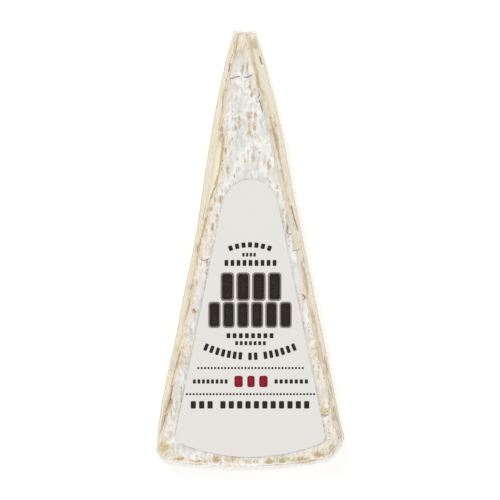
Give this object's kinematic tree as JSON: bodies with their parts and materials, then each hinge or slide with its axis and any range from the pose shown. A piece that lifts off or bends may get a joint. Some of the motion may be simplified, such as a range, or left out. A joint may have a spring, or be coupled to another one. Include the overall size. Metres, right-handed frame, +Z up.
{
  "type": "brie wedge in clear film",
  "caption": "Wedge of soft white-rind cheese, tightly wrapped in clear film, with a plain paper-like label with an arched top on its upper rind",
  "frame": {"origin": "under the middle of the pack's bounding box, on the surface it rests on", "axes": "+Y along the wedge towards its nose, +Z up out of the labelled rind, +X to the right seen from above with the nose ahead"},
  "size_m": [0.0764, 0.1784, 0.0297],
  "materials": {
    "rind": "soft white bloomy rind with tan patches, matte",
    "paste": "ripe cream-coloured paste, moist and softly glossy",
    "film": "thin clear film, glossy, pulled tight",
    "label": "pale warm grey label stock, smooth satin",
    "print_dark": "dark brown-black print",
    "print_red": "deep red print"
  },
  "bodies": {
    "root": {"cheese": "rind", "film": "film", "label": "label"}
  },
  "joints": []
}
